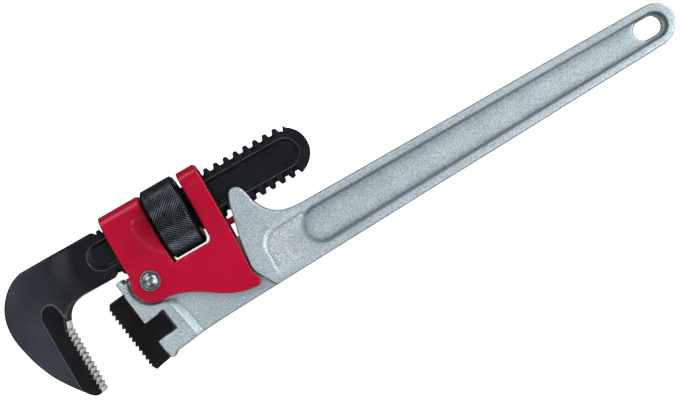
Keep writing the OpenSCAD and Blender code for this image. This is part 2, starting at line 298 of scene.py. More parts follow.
class Relief:
    """A closed plate: height() gives its upper face, and the under face mirrors it or follows under().

    rows are the levels of points down the edge, from 1 to -1, and bulge rounds the edge outwards.
    wall is 1 at those points, and wear is high at corners.
    """

    def __init__(self, outline, height, holes, lines, radius, rows, step=2.0, bulge=0.0, under=None,
                 outline_step=None):
        outline = resample(anticlockwise(outline), outline_step or step)
        holes = [resample(anticlockwise(h), 0.8) for h in holes]
        lines = list(lines)
        for loop, sign in [(outline, 1)] + [(h, -1) for h in holes]:
            r = radius(loop) if callable(radius) else np.full(len(loop), radius)
            for turn in FILLET_STEPS:
                lines.append((shrink(loop, sign * r * (1 - math.cos(turn))), True))
        self.outline, self.holes, self.radius = outline, holes, radius
        flat, tris = fill(outline, holes, lines, step)
        drop, self.edge = self.edges(flat)
        top = height(flat) - drop
        low = -top if under is None else under(flat)
        self.build(flat, tris, top, low, rows, bulge)

    def edges(self, flat):
        """How far the rounded edges pull each point down, and how near it is to an edge."""
        drop, edge = np.zeros(len(flat)), np.zeros(len(flat))
        for loop in [self.outline] + self.holes:
            d, spot = nearest(flat, loop)
            r = self.radius(spot) if callable(self.radius) else self.radius
            drop = np.maximum(drop, rounding(d, r))
            edge = np.maximum(edge, np.exp(-d / 0.9))
        return drop, edge

    def build(self, flat, tris, top, low, rows, bulge):
        """Joins the two faces round the rim."""
        n = len(flat)
        sides = np.vstack([tris[:, [0, 1]], tris[:, [1, 2]], tris[:, [2, 0]]])
        twins = set(map(tuple, sides))
        rim = [s for s in map(tuple, sides) if s[::-1] not in twins]
        out = np.zeros((n, 2))
        for a, b in rim:
            d = flat[b] - flat[a]
            d /= max(np.hypot(*d), 1e-9)
            out[a] += (d[1], -d[0])
            out[b] += (d[1], -d[0])
        rim_points = sorted({i for side in rim for i in side})
        out /= np.maximum(np.hypot(*out.T), 1e-9)[:, None]
        place = {i: k for k, i in enumerate(rim_points)}
        ids = np.array(rim_points)
        verts = [np.column_stack([flat, top]), np.column_stack([flat, low])]
        tags = [np.zeros(n), np.zeros(n)]
        for w in rows:
            z = (top[ids] + low[ids]) / 2 + (top[ids] - low[ids]) / 2 * w
            verts.append(np.column_stack([flat[ids] + out[ids] * bulge * (1 - w * w), z]))
            tags.append(np.ones(len(ids)))
        levels = [lambda i: i]
        for k in range(len(rows)):
            levels.append(lambda i, k=k: 2 * n + k * len(ids) + place[i])
        levels.append(lambda i: n + i)
        faces = [tuple(t) for t in tris] + [tuple(t + n) for t in tris[:, ::-1]]
        for a, b in rim:
            for up, down in zip(levels, levels[1:]):
                faces.append((up(a), down(a), down(b), up(b)))
        self.verts, self.wall, self.faces = np.vstack(verts), np.concatenate(tags), faces
        spread = [np.abs(w) ** 3 * 0.8 for w in rows]
        self.wear_and_sheen = np.concatenate([self.edge, self.edge] + [np.full(len(ids), s) for s in spread])

    def between(self, rim, floor):
        """The points on the two faces that are on a recess's wall."""
        flat = self.verts[:, :2]
        return inside(flat, rim) & ~inside(flat, floor) & (self.wall == 0)

    def along(self, values, lines, reach):
        """The values, raised on the two faces along each (line, share) and fading over reach."""
        flat = self.verts[:, :2]
        for line, share in lines:
            near = share * np.exp(-nearest(flat, line)[0] / reach)
            values = np.maximum(values, np.where(self.wall > 0, 0, near))
        return values


# ---- pieces ----

# faces that turn by more degrees than this show a crease
SHARP = 34


def finish_mesh(mesh, sharp):
    """Smooth shading, with creases where faces turn by more than sharp degrees."""
    mesh.shade_smooth()
    mesh.set_sharp_from_angle(angle=math.radians(sharp))


def placed(points):
    """Design-frame points in millimetres, as points of the shared frame."""
    return (ORIGIN + np.asarray(points, float) * MM).tolist()


def add(name, data):
    """A new object in the scene."""
    obj = bpy.data.objects.new(name, data)
    bpy.context.scene.collection.objects.link(obj)
    return obj


def add_mesh(name, points, faces):
    mesh = bpy.data.meshes.new(name)
    mesh.from_pydata(points, [], faces)
    mesh.update()
    return add(name, mesh)


def piece(name, verts, faces, materials, body, nodes, values, picks=None, sharp=SHARP):
    """Makes a shown piece from design-frame points, and lets it ride on its body.

    values are numbers stored at the points, and picks are the faces' places in materials.
    """
    obj = add_mesh(name, placed(verts), [list(map(int, f)) for f in faces])
    mesh = obj.data
    for material in materials:
        mesh.materials.append(material)
    if picks is not None:
        mesh.polygons.foreach_set("material_index", np.asarray(picks, np.int32))
    for key, value in values.items():
        layer = mesh.attributes.new(key, "FLOAT", "POINT")
        layer.data.foreach_set("value", np.asarray(value, np.float32))
    mesh.update()
    finish_mesh(mesh, sharp)
    even = obj.modifiers.new("even normals", "WEIGHTED_NORMAL")
    even.keep_sharp = True
    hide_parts(*nodes)
    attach(obj, body)
    return obj


def join(*parts):
    """Several (points, faces) pairs as one."""
    verts, faces, first = [], [], 0
    for points, polygons in parts:
        verts.append(np.asarray(points, float))
        faces += [tuple(i + first for i in f) for f in polygons]
        first += len(points)
    return np.vstack(verts), faces


def lathe(profile, n=96):
    """A profile of (radius, height) points turned about the third axis. A radius of 0 closes an end."""
    verts, rings = [], []
    for r, h in profile:
        if r == 0:
            rings.append([len(verts)] * n)
            verts.append((0, 0, h))
            continue
        rings.append(list(range(len(verts), len(verts) + n)))
        turn = 2 * math.pi * np.arange(n) / n
        verts.extend(zip(r * np.cos(turn), r * np.sin(turn), np.full(n, h)))
    faces = []
    for low, high in zip(rings, rings[1:]):
        for i in range(n):
            quad = [low[i], low[(i + 1) % n], high[(i + 1) % n], high[i]]
            faces.append(tuple(dict.fromkeys(quad)))
    return np.array(verts, float), faces


def carve(obj, cutters):
    """Cuts the closed (points, faces) solids out of obj."""
    for points, faces in cutters:
        tool = add_mesh("cutter", placed(points), faces)
        cut = obj.modifiers.new("cut", "BOOLEAN")
        cut.operation = "DIFFERENCE"
        cut.solver = "EXACT"
        cut.object = tool
        obj.modifiers.move(len(obj.modifiers) - 1, 0)
        bpy.context.view_layer.update()
        even = obj.modifiers["even normals"]
        even.show_viewport = False
        graph = bpy.context.evaluated_depsgraph_get()
        made = bpy.data.meshes.new_from_object(obj.evaluated_get(graph))
        obj.modifiers.remove(cut)
        even.show_viewport = True
        old = obj.data
        obj.data = made
        for unused in (old, tool.data):
            bpy.data.meshes.remove(unused)
    finish_mesh(obj.data, SHARP)


def block(low, high):
    """A box between two corners."""
    xs = [low, high]
    points = [(xs[i][0], xs[j][1], xs[k][2]) for k in (0, 1) for j in (0, 1) for i in (0, 1)]
    faces = [(0, 2, 3, 1), (4, 5, 7, 6), (0, 1, 5, 4), (2, 6, 7, 3), (0, 4, 6, 2), (1, 3, 7, 5)]
    return points, faces


def rod(start, end, r, n=64):
    """A closed round bar between two points."""
    start, end = Vector(start), Vector(end)
    turn = (end - start).to_track_quat("Z", "Y").to_matrix()
    points, faces = lathe([(0, 0), (r, 0), (r, (end - start).length), (0, (end - start).length)], n)
    return [tuple(start + turn @ Vector(p)) for p in points], faces


# ---- finishes ----


def linear(colour):
    """An 8-bit screen colour as linear light."""
    c = np.asarray(colour, float) / 255
    return tuple(np.where(c <= 0.04045, c / 12.92, ((c + 0.055) / 1.055) ** 2.4)) + (1.0,)


class Shader:
    """A material's nodes, in object space, in metres."""

    def __init__(self, name):
        self.material = bpy.data.materials.new(name)
        self.material.use_nodes = True
        self.tree = self.material.node_tree
        self.main = self.tree.nodes["Principled BSDF"]
        self.place = self.node("ShaderNodeTexCoord").outputs["Object"]

    def node(self, kind, **settings):
        made = self.tree.nodes.new(kind)
        for key, value in settings.items():
            setattr(made, key, value)
        return made

    def put(self, socket, value):
        """Links value to the socket, or sets it there if it is a constant."""
        if isinstance(value, bpy.types.NodeSocket):
            self.tree.links.new(value, socket)
        else:
            socket.default_value = value

    def noise(self, size_mm, detail=3.0, rough=0.5, place=None):
        made = self.node("ShaderNodeTexNoise")
        self.put(made.inputs["Vector"], place or self.place)
        self.put(made.inputs["Scale"], 1 / (size_mm * MM))
        self.put(made.inputs["Detail"], detail)
        self.put(made.inputs["Roughness"], rough)
        return made.outputs["Fac"]

    def cells(self, size_mm):
        """One random value for each cell."""
        made = self.node("ShaderNodeTexVoronoi")
        self.put(made.inputs["Vector"], self.place)
        self.put(made.inputs["Scale"], 1 / (size_mm * MM))
        split = self.node("ShaderNodeSeparateColor")
        self.put(split.inputs[0], made.outputs["Color"])
        return split.outputs[0]

    def value(self, name):
        """A value that the mesh stores at its points."""
        return self.node("ShaderNodeAttribute", attribute_name=name).outputs["Fac"]

    def math(self, operation, a, b, c=None):
        made = self.node("ShaderNodeMath", operation=operation)
        self.put(made.inputs[0], a)
        self.put(made.inputs[1], b)
        if c is not None:
            self.put(made.inputs[2], c)
        return made.outputs[0]

    def span(self, value, low, high, to_low=0.0, to_high=1.0):
        """value, eased from the range low to high into the range to_low to to_high."""
        made = self.node("ShaderNodeMapRange", interpolation_type="SMOOTHSTEP")
        self.put(made.inputs["Value"], value)
        for key, number in zip(("From Min", "From Max", "To Min", "To Max"), (low, high, to_low, to_high)):
            self.put(made.inputs[key], number)
        return made.outputs["Result"]

    def mix(self, share, a, b):
        """Colour a, with a share of colour b."""
        made = self.node("ShaderNodeMix", data_type="RGBA")
        self.put(made.inputs["Factor"], share)
        self.put(made.inputs[6], a)
        self.put(made.inputs[7], b)
        return made.outputs[2]

    def stretched(self, scale):
        made = self.node("ShaderNodeMapping")
        self.put(made.inputs["Vector"], self.place)
        self.put(made.inputs["Scale"], scale)
        return made.outputs["Vector"]

    def bump(self, depth_mm, height):
        """Small relief on the surface."""
        made = self.node("ShaderNodeBump")
        self.put(made.inputs["Strength"], 1.0)
        self.put(made.inputs["Distance"], depth_mm * MM)
        self.put(made.inputs["Height"], height)
        self.put(self.main.inputs["Normal"], made.outputs["Normal"])

    def frayed(self, size_mm, detail):
        """The mesh's wear and painted highlight lines, made uneven."""
        uneven = self.math("SUBTRACT", self.noise(size_mm, detail), 0.5)
        return self.math("ADD", self.value("wear_and_sheen"), self.math("MULTIPLY", uneven, 0.8))


# colours for painted glints, for painted shade in creases and recesses, and for bare metal at worn edges
PAINTED_GLINT_COLOUR = (236, 240, 242)
PAINTED_SHADE_COLOUR = (60, 60, 62)
BARE_COLOUR = (205, 208, 212)


def coated(name, dark, light, grain, bump, rough, metallic, wear_and_sheen_colour, wear_and_sheen=0.5, coat=0.0, drift=28, flake=0.35,
           second=None, worn_rough=0.32, coat_rough=0.12, painted_glints=False, gloss=0.5):
    """A finish with slow colour drift, fine grain, and edges worn through to another colour, which also
    paints highlight lines along rims.

    The mesh's values say where: worn edges and painted highlight lines, painted shade in creases and
    recesses, painted glints, and "dark" for the second pair of colours.
    """
    s = Shader(name)
    fine = s.noise(grain, 4, 0.6)
    slow = s.noise(drift, 3)
    colour = s.mix(s.span(slow, 0.32, 0.68), linear(dark), linear(light))
    if second is not None:
        other = s.mix(s.span(fine, 0.3, 0.7), linear(second[0]), linear(second[1]))
        colour = s.mix(s.value("dark"), colour, other)
    lift = s.math("MULTIPLY_ADD", s.span(s.noise(grain * 1.8, 2), 0.34, 0.66), flake, 1 - flake / 2)
    # painted shade: darker where the mesh marks creases and recesses
    shade_factor = s.math("MULTIPLY_ADD", s.value("painted_shade"), -0.62, 1.0)
    tint = s.node("ShaderNodeVectorMath", operation="SCALE")
    s.put(tint.inputs[0], colour)
    s.put(tint.inputs["Scale"], s.math("MULTIPLY", lift, shade_factor))
    # worn edges and painted highlight lines take the wear colour
    mask = s.math("MULTIPLY", s.span(s.frayed(3.5, 4), 0.62, 1.0), wear_and_sheen)
    final = s.mix(mask, tint.outputs[0], linear(wear_and_sheen_colour))
    # painted glints: bright flecks where the mesh marks them
    if painted_glints:
        glint_share = s.math("MULTIPLY", s.span(s.cells(0.42), 0.45, 0.95, 0, 0.8), s.value("painted_glint"))
        final = s.mix(glint_share, final, linear(PAINTED_GLINT_COLOUR))
    s.put(s.main.inputs["Base Color"], final)
    base_rough = s.span(fine, 0.25, 0.75, rough - 0.07, rough + 0.09)
    drifted = s.math("ADD", base_rough, s.span(s.noise(12, 2), 0.35, 0.65, -0.04, 0.05))
    worn_in = s.math("MULTIPLY", s.math("SUBTRACT", worn_rough, drifted), mask)
    s.put(s.main.inputs["Roughness"], s.math("ADD", drifted, worn_in))
    s.put(s.main.inputs["Metallic"], metallic)
    s.put(s.main.inputs["Specular IOR Level"], gloss)
    if coat:
        s.put(s.main.inputs["Coat Weight"], coat)
        s.put(s.main.inputs["Coat Roughness"], coat_rough)
    s.bump(bump, s.math("ADD", fine, s.math("MULTIPLY", s.noise(grain * 2, 2), 0.6)))
    return s.material


def brushed(name, dark, light, rough, axis, scratch=0.25, bump=0.02, metallic=1.0):
    """Bare metal with fine grinding lines that run along one axis."""
    s = Shader(name)
    scale = [5.0 if k == axis else 60.0 for k in range(3)]
    lines = s.noise(scratch * 50, 4, 0.6, s.stretched(scale))
    slow = s.noise(6, 3)
    colour = s.mix(s.span(lines, 0.3, 0.7), linear(dark), linear(light))
    colour = s.mix(s.math("MULTIPLY", s.span(slow, 0.45, 0.75), 0.35), colour, linear(dark))
    # painted shade in creases and tooth gullets
    colour = s.mix(s.value("painted_shade"), colour, linear(PAINTED_SHADE_COLOUR))
    mask = s.math("MULTIPLY", s.span(s.frayed(2.0, 3), 0.6, 1.0), 0.6)
    s.put(s.main.inputs["Base Color"], s.mix(mask, colour, linear(BARE_COLOUR)))
    s.put(s.main.inputs["Roughness"], s.span(lines, 0.25, 0.75, rough - 0.08, rough + 0.12))
    s.put(s.main.inputs["Metallic"], metallic)
    s.bump(bump, lines)
    return s.material


SILVER = coated("silver hammered paint", (170, 185, 192), (180, 194, 201), 0.36, 0.03, 0.42, 0.35,
                (216, 222, 226), wear_and_sheen=0.45, drift=60, flake=0.5, coat=0.15, coat_rough=0.3, painted_glints=True)
RED = coated("red gloss paint", (166, 8, 44), (180, 10, 50), 0.8, 0.004, 0.24, 0.0,
             (120, 14, 30), wear_and_sheen=0.3, coat=0.08, drift=30, flake=0.05, gloss=0.25)
# its second colours darken the hook's arm towards the shank, partly as painted shade, and the edge of its
# black pad
SLATE = coated("slate satin steel", (44, 49, 58), (56, 61, 71), 0.5, 0.02, 0.46, 0.35,
               (122, 130, 140), wear_and_sheen=0.65, flake=0.25, second=((9, 11, 16), (20, 23, 30)), gloss=0.3)
BLACK = coated("black oxide steel", (6, 6, 10), (12, 13, 18), 0.45, 0.01, 0.36, 0.0,
               (84, 88, 95), wear_and_sheen=0.3, flake=0.25, gloss=0.22)
# its second colours are painted shade for the knurl's valleys
NUT_BLACK = coated("black knurled steel", (26, 33, 40), (36, 44, 52), 0.35, 0.004, 0.26, 0.7,
                   (140, 156, 170), wear_and_sheen=0.4, flake=0.1, second=((3, 4, 6), (7, 8, 11)),
                   worn_rough=0.26)
# the ground teeth are white and not metallic so that they read bright under every lamp: a painted sheen over
# the steel's own brightness
BRIGHT = brushed("ground tooth steel with painted sheen", (226, 227, 228), (255, 255, 255), 0.4, 1, metallic=0.0)
ZINC = brushed("zinc plate", (112, 118, 126), (168, 174, 181), 0.3, 0, scratch=0.4, bump=0.01)
SPRING = brushed("spring steel", (92, 94, 98), (150, 152, 156), 0.33, 1)


# ---- handle ----

# the heel jaw leans, and its own frame starts at the top of its back edge
HEEL_TURN = math.radians(7.5)
HEEL_AT = np.array([-14.1, 0.75])

# the tenon in that frame: how deep, its top and its bottom
TENON = (10.25, -16.6, -26.8)

# the floor between the lug and the horns, and the top of the lug
FLOOR_Y = -2.2
LUG_TOP = 4.6

# how far the web's and the pockets' floors are from the middle plane, and half the gap between the horns
WEB_Z = 3.5
POCKET_Z = 6.5
GAP_HALF = 6.7

# the radius of the coil spring's seat, and of the heel jaw pin's bore
SEAT_R = 4.8
BORE_R = 2.0


def heel(u, v):
    """A point of the leaning heel jaw's own frame, in the design frame."""
    c, s = math.cos(HEEL_TURN), math.sin(HEEL_TURN)
    u, v = np.asarray(u, float), np.asarray(v, float)
    return np.stack([HEEL_AT[0] + u * c - v * s, HEEL_AT[1] + u * s + v * c], -1)


def handle_outline():
    """The handle from the side, with the heel jaw's notch."""
    deep, top, bottom = TENON
    notch = [heel(0.05, 5.3), heel(0.05, top), heel(deep, top), heel(deep, bottom), heel(0.05, bottom),
             heel(0.05, -35.6), heel(1.2, -36.7)]
    under = [[-6, -33.9], [0, -33.25], [10, -32.1], [25, -31.25], [45, -30.6], [69, -29.75], [90, -29.1],
             [120, -28.1], [150, -27.2], [180, -26.3], [219, -24.9], [249, -24]]
    end = [[-9.7, -23.6], [-5.9, -22.3], [-2.9, -19.6], [-0.9, -16.4], [0, -13], [-0.8, -9.4],
           [-3.1, -6.4], [-6.7, -4.5], [-11, -4]]
    horn_back = [[72, -3], [69, -2.3], [66, -1], [63, 1], [60.5, 4], [58.75, 7.3], [58, 10], [57.2, 14],
                 [55.6, 16.9], [53.2, 18], [51.2, 17.4], [50, 15.8]]
    horn_front = [[48.5, 12], [47.25, 7], [45.75, 1], [44.7, FLOOR_Y]]
    lug = [[13.5, FLOOR_Y], [11, LUG_TOP], [-11.6, LUG_TOP], [-12.25, 6.75], [-14, 6.7]]
    return np.vstack([
        notch, smooth(under), smooth([[x + HANDLE_END, y] for x, y in end]),
        [[150, -3.7], [90, -3.45], [77, -3.4]], smooth(horn_back), horn_front, lug,
    ])


def handle():
    """The forging, with its web recess, the pockets for the frame and the panels beside the horns."""
    web_rim = taper_slot([80.3, -16.2], 8.9, [HANDLE_END - 10.9, -13.9], 6.4)
    web_floor = taper_slot([80.4, -16.15], 7.8, [HANDLE_END - 11, -13.9], 5.6)
    pocket_rim = np.vstack([
        [[45.4, -2.1], [45.4, 14], [-10.15, 14]], arc([0, 0], 11.4, 155, 270, 24),
        [[2.5, -13.5], [4.5, -23], [7.5, -40], [57, -40], [48.6, -28.9], [44.2, -21.1], [43.35, -18.6],
         [43.35, -16.5], [44, -10.5], [44.9, -5]]])
    pocket_floor = np.vstack([
        [[44.8, -2.1], [44.8, 14], [-9.4, 14]], arc([0, 0], 10.5, 155, 263, 24),
        [[5.4, -12.6], [7.9, -22], [11.4, -40], [55.6, -40], [47.8, -28.7], [43.5, -21], [42.65, -18.6],
         [42.65, -16.5], [43.3, -10.5], [44.3, -5]]])
    panel_rim = np.vstack([
        smooth([[52.6, -31], [52, -25], [51.9, -19], [52.1, -13], [54, -9.4], [57.5, -6.8], [62, -5.7],
                [66, -5.4], [76, -5.3]]),
        [[79, -12], [79, -26], [76, -31]]])
    panel_floor = np.vstack([
        smooth([[54, -30.5], [53.4, -25], [53.3, -19], [53.8, -13.8], [55.5, -10.7], [58.5, -8.9],
                [62.5, -8.2], [66, -8.0], [75, -7.6]]),
        [[77, -12], [77, -26], [75, -30.5]]])
    hole_c = np.array([HANDLE_END - 13.2, -13.5])
    hole = np.vstack([arc(hole_c + [2.2, 0], 4.7, -90, 90), arc(hole_c - [2.2, 0], 4.7, 90, 270)])

    def panel_share(p):
        """How deep the panel is, from 1 to nothing where it runs out."""
        fade = np.interp(p[:, 1], [-14, -8], [74, 86])
        return np.clip((fade - p[:, 0]) / 12, 0, 1) * np.clip((p[:, 1] + 29) / 6, 0, 1)

    def height(p):
        share = np.interp(p[:, 0], [-20, 60, 66, 80, 84, HANDLE_END], [1, 1, 0.975, 0.865, 0.85, 0.75])
        z = share * HEAD_HALF
        z = step_down(p, z, panel_rim, panel_floor, z - panel_share(p), True)
        z = step_down(p, z, web_rim, web_floor, WEB_Z, True)
        return step_down(p, z, pocket_rim, pocket_floor, POCKET_Z)

    def radius(p):
        hidden = (p[:, 0] < -4) & (p[:, 1] < 0) & (p[:, 1] > -32)
        return np.where(hidden, 0.35, np.where(p[:, 1] > 5.5, 1.0, 1.35))

    lines = wall_lines(web_rim, web_floor) + wall_lines(pocket_rim, pocket_floor)
    lines += wall_lines(panel_rim, panel_floor)
    lines += [(resample([[x, -40], [x, 0]], 1.5, False), False) for x in (60, 66, 80, 84)]
    plate = Relief(handle_outline(), height, [hole], lines, radius, (0.8, 0.4, 0, -0.4, -0.8), bulge=0.22)
    flat = plate.verts[:, :2]
    in_panel = panel_share(flat)
    # worn rims, with painted highlight lines along the recesses' rims
    wear_and_sheen = plate.along(plate.wear_and_sheen, ((web_rim, 0.4), (pocket_rim, 0.55), (panel_rim, in_panel)), 0.8)
    # painted shade along the recesses' rims and feet and over the web's walls
    feet = ((web_rim, 0.75), (web_floor, 1), (pocket_rim, 0.6), (pocket_floor, 0.8),
            (panel_floor, 0.8 * in_panel))
    painted_shade = plate.along(np.zeros(len(flat)), feet, 0.3)
    painted_shade = np.maximum(painted_shade, 0.85 * plate.between(web_rim, web_floor))
    # painted glints on the panel's rough floor
    painted_glint = in_panel * inside(flat, panel_floor) * (plate.wall == 0)
    forging = piece("handle_casting", plate.verts, plate.faces, [SILVER], "handle",
                    ["handle"], {"wear_and_sheen": wear_and_sheen, "painted_shade": painted_shade, "painted_glint": painted_glint})
    carve(forging, [
        block((41, FLOOR_Y, -GAP_HALF), (81, 40, GAP_HALF)),
        rod((SPRING_X, COIL_LOW[1] - 0.05, 0), (SPRING_X, 10, 0), SEAT_R),
        rod((*heel(5, -41), 0), (*heel(5, -26), 0), BORE_R),
    ])


# ---- jaws ----

# the hook jaw's tooth tips, and a line just behind its tooth roots
HOOK_TIP_X = -43.4
TOOTH_BACK_X = -45.2


def tooth_line(tip, root, top, share, n):
    """n saw teeth down from top. share is how far down each tooth its tip is."""
    line = []
    for i in range(n):
        line += [[root, top - i * TOOTH_PITCH], [tip, top - (i + share) * TOOTH_PITCH]]
    return line + [[root, top - n * TOOTH_PITCH]]


def rack_radius(x, start):
    """Radius over the rack at x, with rounded teeth counted from start."""
    off = np.abs((x - start + RACK_PITCH / 2) % RACK_PITCH - RACK_PITCH / 2)
    t = np.clip((1.75 - off) / 1.0, 0, 1)
    return RACK_ROOT_R + (RACK_TIP_R - RACK_ROOT_R) * t * t * (3 - 2 * t)


def rack_edge(side, x0, x1):
    """The rack's edge on the shank's face, from x0 to x1."""
    start = TOOTH_X if side > 0 else TOOTH_X + RACK_PITCH / 2
    x = np.arange(x0, x1, RACK_PITCH / 14)
    return np.stack([x, AXIS_Y + side * np.sqrt(rack_radius(x, start) ** 2 - SHANK_HALF**2)], 1)


def hook_outline():
    """The hook jaw from the side, with its teeth and the rack."""
    outer = [[-50, 32.75], [-54.5, 31.3], [-59, 28.4], [-62.5, 24.75], [-65, 20.8], [-66.7, 16.3],
             [-67.4, 11], [-67.2, 6], [-66.3, 1.2], [-64.9, -4.5], [-63.2, -9.6], [-60.6, -15.6],
             [-57.4, -21], [-54.2, -25.5], [-51.4, -29.2], [-49, -32], [-47, -33.3], [-44.9, -33.3],
             [-43.9, -32.2], [-44.1, -30.9]]
    teeth = tooth_line(HOOK_TIP_X, HOOK_TIP_X - TOOTH_DEPTH, -0.9, 0.28, 12)[::-1]
    throat = [[-43.6, -0.3], [-42.9, 2.2], [-41.7, 4.6], [-40, 6.7], [-37.8, 8.4], [-35.2, 9.4], [-32, 9.8]]
    tail_r = 11.3
    tail = arc([TAIL_X - tail_r, AXIS_Y - 0.2], tail_r, -62, 62, 28)
    low = rack_edge(-1, -11.3, TAIL_X - 8.4)
    high = rack_edge(1, -11.9, tail[-1][0])[::-1]
    return np.vstack([[[-14, 32.75]], smooth(outer), teeth, smooth(throat), [[-15, 9.5], [-13, 10.5]],
                      low, tail, high, [[-12.5, 31]]])


def hook_jaw():
    """The forging, with its thick head, raised tooth pad, long slots and leaning rack teeth."""
    neck = np.array([-14.6, 20.9])
    slot_rim = taper_slot([-14.6, AXIS_Y + 0.6], 6.4, [TAIL_X - 11.8, AXIS_Y - 0.4], 6.9)
    slot_floor = taper_slot([-13.4, AXIS_Y + 0.6], 4.9, [TAIL_X - 12, AXIS_Y - 0.4], 5.2)
    pad_rim = np.vstack([
        smooth([[-51.9, -27], [-51.9, 6], [-51.4, 9.6], [-50, 12.4], [-46.9, 13.8], [-44, 12.4], [-42.6, 9],
                [-42.1, 5], [-41.7, 3]]),
        [[-40, 2], [-40, -40], [-48, -40]]])
    pad_top = np.vstack([
        smooth([[-51.5, -26.8], [-51.5, 6], [-51, 9.4], [-49.7, 12], [-46.9, 13.3], [-44.4, 12.1],
                [-43.1, 8.9], [-42.6, 5], [-42.2, 2.6]]),
        [[-41, 1.5], [-41, -39], [-47, -39]]])

    def height(p):
        d = np.hypot(*(p - neck).T)
        t = np.clip((d - 12) / 13, 0, 1) * (p[:, 0] < -16)
        z = SHANK_HALF + (HEAD_HALF - 0.35 - SHANK_HALF) * t * t * (3 - 2 * t)
        z = step_down(p, z, pad_rim, pad_top, HEAD_HALF)
        return step_down(p, z, slot_rim, slot_floor, SHANK_HALF - 1.5, True)

    def radius(p):
        x, y = p.T
        r = np.where(x > -13, 0.3, 1.5)
        r = np.where((x > -32) & (y < 13) & (x < -12), 0.9, r)
        return np.where((x > TOOTH_BACK_X) & (y < -0.6), 0.15, r)

    lines = wall_lines(slot_rim, slot_floor) + wall_lines(pad_rim, pad_top)
    lines += [(arc(neck, r, 60, 300, 60), False) for r in (12, 13.5, 15, 17, 19, 21, 23, 25)]
    plate = Relief(hook_outline(), height, (), lines, radius, (0.85, 0.6, 0.3, 0, -0.3, -0.6, -0.85))
    v = plate.verts
    x, y, z = v.T.copy()
    side, off = np.sign(y - AXIS_Y), np.abs(y - AXIS_Y)
    on_wall = plate.wall > 0

    # the rack's edges are turned about the shank's axis, and their teeth lean like the thread
    over = np.sqrt(off**2 + SHANK_HALF**2)
    turned = AXIS_Y + side * np.sqrt(np.maximum(over**2 - z**2, 0))
    on_rack = on_wall & (x > RACK_X) & (off > 7.2)
    v[:, 1] = y + (turned - y) * np.clip((TAIL_X - 5.5 - x) / 4, 0, 1) * on_rack
    fade = np.clip((TAIL_X - 4 - x) / 4, 0, 1) * (x > RACK_X)
    v[:, 0] += LEAN * z * side * np.clip(off - 7, 0, 1) * fade

    flat = v[:, :2]
    pad = inside(flat, pad_top) & ~on_wall
    # darker towards the shank and on the black pad; along the arm this is partly the steel's own tone and
    # partly painted shade that keeps the flare's highlight down
    dark = np.maximum(np.interp(x, [-58, -46, -38, -28], [0, 0.35, 0.75, 1]), pad)
    # painted shade down the slot's walls and along its floor's edge, deepening into the tooth gullets
    painted_shade = plate.along(1.0 * plate.between(slot_rim, slot_floor), ((slot_floor, 1),), 0.4)
    in_teeth = on_wall & (x > TOOTH_BACK_X) & (y < 0)
    painted_shade = np.maximum(painted_shade, 0.8 * in_teeth * np.clip((HOOK_TIP_X - x) / TOOTH_DEPTH, 0, 1) ** 3)
    wear_and_sheen = plate.wear_and_sheen * np.where(x > -22, 0.55, 1)
    # thin light lines along the pad's rim and the slot's rim and floor edge: painted highlights, with some
    # wear on the rims
    wear_and_sheen = plate.along(wear_and_sheen, ((pad_rim, 1.25), (slot_rim, 1.1), (slot_floor, 0.8)), 0.2)

    middle = np.array([v[list(f)].mean(0)[:2] for f in plate.faces])
    is_wall = np.array([plate.wall[list(f)].max() for f in plate.faces]) > 0
    is_tooth = is_wall & (middle[:, 0] > TOOTH_BACK_X) & (middle[:, 0] < HOOK_TIP_X + 1) & (middle[:, 1] < 3)
    is_pad = inside(middle, pad_top) & ~is_wall
    picks = np.where(is_tooth, 1, np.where(is_pad, 2, 0))
    piece("hook_jaw_forging", v, plate.faces, [SLATE, BRIGHT, BLACK], "hook_jaw",
          ["hook_jaw"], {"wear_and_sheen": wear_and_sheen, "dark": dark, "painted_shade": painted_shade}, picks, sharp=30)


def heel_jaw():
    """The toothed block with its tenon, drawn in its own leaning frame."""
    tip, length, slack = -9.8, 36.4, 0.05
    teeth = tooth_line(tip, tip + TOOTH_DEPTH, -3, 0.72, int((length - 6.2) // TOOTH_PITCH))
    deep, top, bottom = TENON
    deep, top, bottom = deep - slack, top - slack, bottom + slack
    profile = [[0, 0], [-7.4, 0.2], [tip + 0.3, -2.6]] + teeth + [
        [tip + 0.4, -length + 3], [-8.2, -length], [0, -length + 0.6], [0, bottom],
        [deep, bottom], [deep, top], [0, top]]

    def radius(p):
        return np.where(p[:, 0] < tip + 1.5, 0.15, np.where(p[:, 0] > -0.5, 0.3, 0.7))

    plate = Relief(profile, lambda p: np.full(len(p), HEAD_HALF), (), (), radius,
                   (0.9, 0.45, 0, -0.45, -0.9), step=1.8)
    v = plate.verts
    v[:, :2] = heel(v[:, 0], v[:, 1])
    piece("heel_jaw_insert", v, plate.faces, [BLACK], "handle", ["heel_jaw"],
          {"wear_and_sheen": plate.wear_and_sheen}, sharp=30)


# ---- adjusting nut ----

# the knurling: raised points round the nut, and how deep it is cut
AROUND = 152
KNURL = 0.42
CHAMFER = 1.0

# the thread: room round the rack, and the points round the bore and rings along it
ROOM = 0.35
BORE_AROUND = 96
BORE_RINGS = 72


def strip(a, b, split=None):
    """Faces between two rings of one count. split makes triangles with a slant that changes at each step."""
    faces = []
    for i, near in enumerate(a):
        j = (i + 1) % len(a)
        if split is None:
            faces.append((near, a[j], b[j], b[i]))
        elif (i + split) % 2:
            faces += [(near, a[j], b[i]), (a[j], b[j], b[i])]
        else:
            faces += [(near, a[j], b[j]), (near, b[j], b[i])]
    return faces


def annulus(a, b):
    """Faces between two rings of different counts, matched by angle."""
    faces, i, j = [], 0, 0
    n, m = len(a), len(b)
    while i < n or j < m:
        if j >= m or (i < n and (i + 1) / n <= (j + 1) / m):
            faces.append((a[i % n], a[(i + 1) % n], b[j % m]))
            i += 1
        else:
            faces.append((a[i % n], b[(j + 1) % m], b[j % m]))
            j += 1
    return faces


